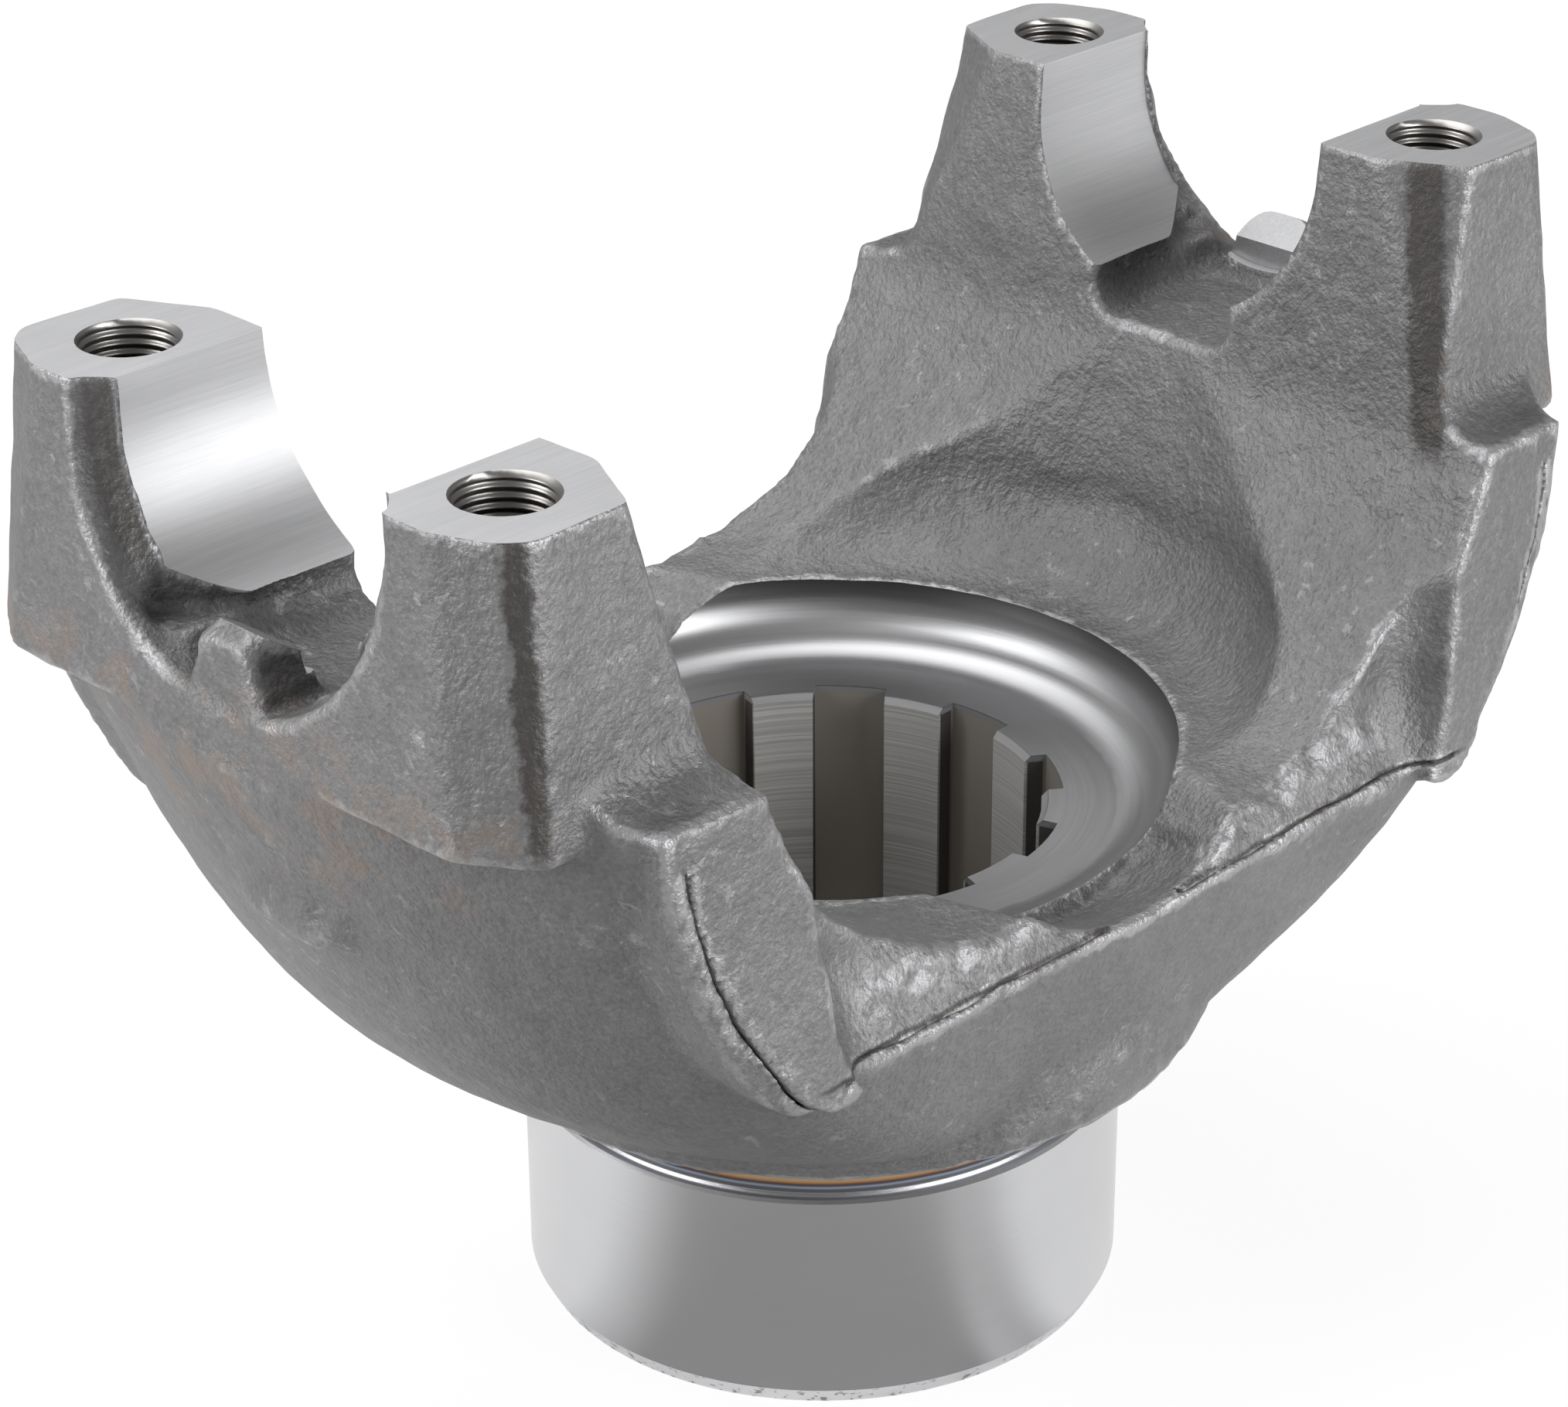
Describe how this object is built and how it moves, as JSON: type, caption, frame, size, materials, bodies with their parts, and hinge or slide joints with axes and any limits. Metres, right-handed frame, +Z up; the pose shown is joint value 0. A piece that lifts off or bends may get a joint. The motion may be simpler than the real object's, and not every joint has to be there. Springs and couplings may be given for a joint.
{
  "type": "driveline end yoke",
  "caption": "Forged end yoke with a splined hub, two arms and half-round bearing seats with threaded lugs.",
  "frame": {"origin": "centre of the hub's lower end face", "axes": "+Z up along the hub towards the arms; X runs through the two bearing seats, from arm to arm; Y across the pair of lugs on each arm"},
  "size_m": [0.2006, 0.1212, 0.1512],
  "materials": {
    "forged_steel": "shot-blasted forging with machined seats, lug tops, bore and ground hub"
  },
  "bodies": {
    "root": {"yoke": "forged_steel"}
  },
  "joints": []
}
